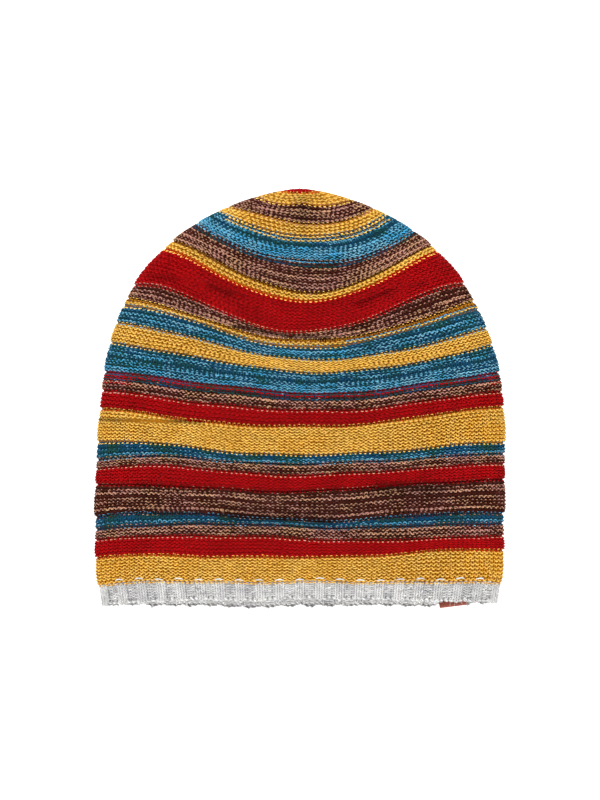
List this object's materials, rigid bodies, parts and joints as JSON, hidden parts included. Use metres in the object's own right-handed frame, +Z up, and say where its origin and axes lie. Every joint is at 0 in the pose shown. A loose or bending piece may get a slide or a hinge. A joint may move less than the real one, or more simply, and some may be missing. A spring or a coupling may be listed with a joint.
{
  "type": "knitted wool cap",
  "caption": "Striped knitted wool cap with a ribbed hem and a bare leather tab, hollow and open at the rim, lying flat on its back layer.",
  "frame": {"origin": "on the surface the cap lies on, under the middle of its outline", "axes": "+X to the right across the cap, +Y from the opening to the gathered tip, +Z up out of the front layer"},
  "size_m": [0.2404, 0.245, 0.0305],
  "materials": {
    "striped_wool": "reverse-side plain knit in stripes of ochre yellow, deep red, tan on dark brown, and bright blue on dark teal",
    "grey_wool": "light grey flecked wool in a two-by-two rib, soft and slightly hairy",
    "brown_leather": "reddish brown leather, bare, satin, with darker cut edges"
  },
  "bodies": {
    "root": {"crown": "striped_wool", "rib_hem": "grey_wool", "leather_tab": "brown_leather"}
  },
  "joints": []
}
